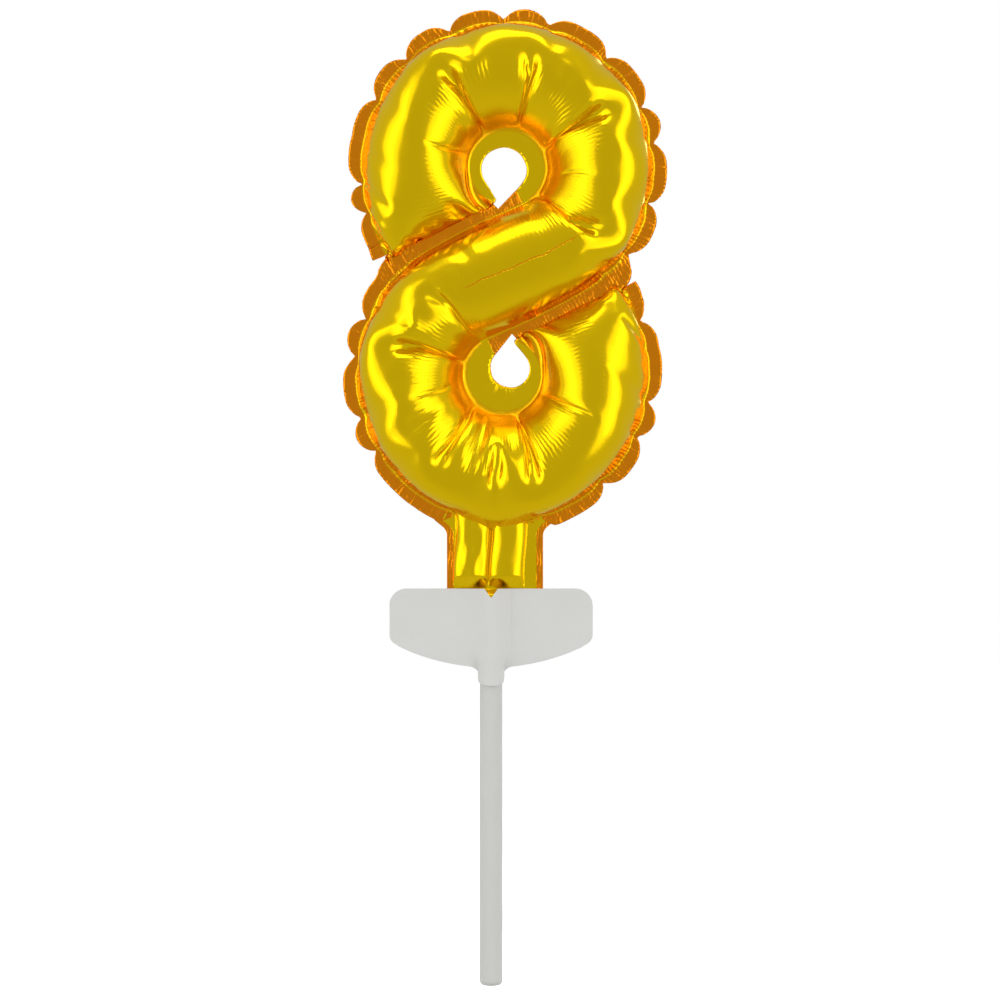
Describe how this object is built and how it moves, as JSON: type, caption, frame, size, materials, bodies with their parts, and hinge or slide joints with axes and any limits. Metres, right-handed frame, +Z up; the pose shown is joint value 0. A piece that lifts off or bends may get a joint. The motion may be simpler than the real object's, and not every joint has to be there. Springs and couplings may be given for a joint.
{
  "type": "foil number balloon",
  "caption": "Small air-filled foil balloon shaped like a figure eight, with a self-sealing neck clamped between two glued cards on top of a straight paper stick.",
  "frame": {"origin": "on the stick's axis, at the lower end of its straight shank, where its rounded tip begins", "axes": "+Z up along the stick towards the balloon, +X to the right as the figure is read, -Y out of the front film"},
  "size_m": [0.0848, 0.02, 0.2542],
  "materials": {
    "foil": "metallised film, mirror-bright gold",
    "valve_film": "clear thin polyethylene",
    "card": "smooth coated white board, satin",
    "glue": "dried white glue, matte",
    "stick": "rolled white paper, matte"
  },
  "bodies": {
    "stick": {"stick": "stick"},
    "holder": {"card_front": "card", "card_back": "card", "glue_patch_left": "glue", "glue_patch_right": "glue", "neck_tail_front": "foil", "neck_tail_back": "foil"},
    "head": {"foil_front": "foil", "foil_back": "foil", "valve_film_front": "valve_film", "valve_film_back": "valve_film"}
  },
  "joints": [
    {"name": "holder_slide", "type": "slide", "parent": "stick", "child": "holder", "axis": [0, 0, 1], "range_m": [0, 0.03]},
    {"name": "neck_bend", "type": "hinge", "parent": "holder", "child": "head", "pos_m": [0.001, 0, 0.1072], "axis": [1, 0, 0], "range_deg": [-35, 35], "stiffness_Nm_per_rad": 0.004}
  ]
}
